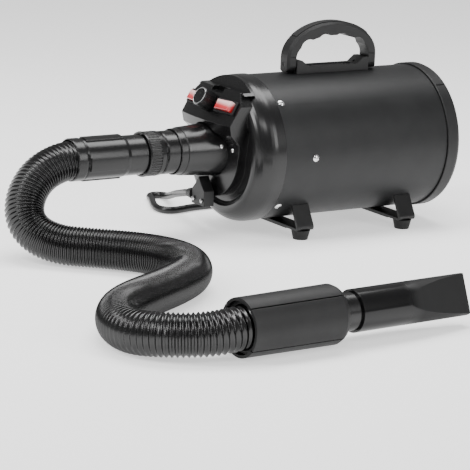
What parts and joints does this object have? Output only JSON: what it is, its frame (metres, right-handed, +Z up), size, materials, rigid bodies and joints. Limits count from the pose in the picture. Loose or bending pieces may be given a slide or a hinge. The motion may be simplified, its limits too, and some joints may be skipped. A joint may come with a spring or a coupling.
{
  "type": "pet dryer",
  "caption": "Cylinder pet dryer: steel tube with moulded front cap, air outlet, ribbed hose, hand grip with flat nozzle, carrying handle, bracket feet and mains cord.",
  "frame": {"origin": "on the floor plane under the centre of the dryer's own box, cords and hose left out", "axes": "+X from the air outlet to the air intake along the tube, +Y to the left seen from the outlet's rear, +Z up"},
  "size_m": [0.6508, 0.6939, 0.2375],
  "materials": {
    "tube_paint": "satin textured powder coat",
    "cap_gloss": "glossy moulded",
    "matte_black": "fine matte grain",
    "grip_black": "soft matte",
    "rubber_black": "matte",
    "hose_black": "semi-gloss ribbed",
    "cord_black": "satin",
    "bracket_black": "semi-gloss",
    "screw_chrome": "polished",
    "rocker_red": "translucent gloss",
    "steel": "satin",
    "aluminium": "satin",
    "copper": "enamelled wire",
    "carbon": "matte",
    "mica": "layered",
    "nichrome": "oxidised",
    "foam": "open-cell foam",
    "felt": "felt",
    "board_green": "laminate",
    "brass": "bright",
    "white_plastic": "moulded"
  },
  "bodies": {
    "dryer": {"body_tube": "tube_paint", "body_screws": "screw_chrome", "front_cap": "cap_gloss", "outlet_tube": "cap_gloss", "front_screws": "screw_chrome", "switch_housing_right": "matte_black", "switch_housing_left": "matte_black", "speed_potentiometer": "steel", "rear_ring": "matte_black", "rear_grille": "matte_black", "intake_filter": "foam", "filter_retainer": "matte_black", "foot_bracket_front": "bracket_black", "foot_bracket_rear": "bracket_black", "rubber_feet": "rubber_black", "foot_bolts": "screw_chrome", "handle_base": "matte_black", "handle_screws": "screw_chrome", "motor_mount_rings": "rubber_black", "acoustic_liner": "felt", "blower_can": "steel", "intake_bell": "matte_black", "stage_plate": "aluminium", "motor_end_plates": "aluminium", "stator_core": "steel", "field_windings": "copper", "motor_bearings": "steel", "brush_holders": "brass", "carbon_brushes": "carbon", "heater_frame": "mica", "heater_coils": "nichrome", "thermal_cutout": "brass", "heater_shield": "aluminium", "control_board": "board_green", "triac_heat_sink": "aluminium", "terminal_block": "white_plastic", "cord_clamp": "cap_gloss", "strain_relief": "rubber_black", "power_cord": "cord_black", "cord_coil": "cord_black", "cord_tie": "matte_black", "plug_body": "cord_black", "plug_blades": "brass", "hose_adapter": "cap_gloss", "machine_cuff": "cap_gloss", "hose": "hose_black", "grip_core": "matte_black", "grip_panels": "grip_black"},
    "handle": {"handle_grip": "matte_black", "handle_strip": "grip_black", "handle_pins": "steel"},
    "rocker_right": {"rocker_right": "rocker_red"},
    "rocker_left": {"rocker_left": "rocker_red"},
    "knob": {"speed_knob": "matte_black", "knob_shaft": "steel"},
    "rotor": {"armature": "steel", "impellers": "aluminium"},
    "coupling": {"coupling_ring": "matte_black"},
    "connector": {"connector_tube": "cap_gloss"},
    "nozzle": {"flat_nozzle": "cap_gloss"}
  },
  "joints": [
    {"name": "handle_fold", "type": "hinge", "parent": "dryer", "child": "handle", "pos_m": [0.0368, 0, 0.1895], "axis": [1, 0, 0], "range_deg": [-95, 95]},
    {"name": "rocker_right_press", "type": "hinge", "parent": "dryer", "child": "rocker_right", "pos_m": [-0.11803, -0.03091, 0.1508], "axis": [0.4974, 0.0514, 0.866], "range_deg": [0, 10]},
    {"name": "rocker_left_press", "type": "hinge", "parent": "dryer", "child": "rocker_left", "pos_m": [-0.11803, 0.03091, 0.1508], "axis": [0.4974, -0.0514, 0.866], "range_deg": [0, 10]},
    {"name": "speed_turn", "type": "hinge", "parent": "dryer", "child": "knob", "pos_m": [-0.1205, 0, 0.1513], "axis": [-0.866, 0, 0.5], "range_deg": [0, 280]},
    {"name": "rotor_spin", "type": "hinge", "parent": "dryer", "child": "rotor", "pos_m": [0, 0, 0.097], "axis": [1, 0, 0], "continuous": true},
    {"name": "coupling_lock", "type": "hinge", "parent": "dryer", "child": "coupling", "pos_m": [-0.2007, 0, 0.0985], "axis": [1, 0, 0], "range_deg": [0, 60]},
    {"name": "connector_swivel", "type": "hinge", "parent": "dryer", "child": "connector", "pos_m": [-0.3617, -0.4469, 0.03], "axis": [0.9982, 0.0593, 0], "continuous": true},
    {"name": "nozzle_pull", "type": "slide", "parent": "connector", "child": "nozzle", "axis": [0.9982, 0.0593, 0], "range_m": [0, 0.022]}
  ]
}
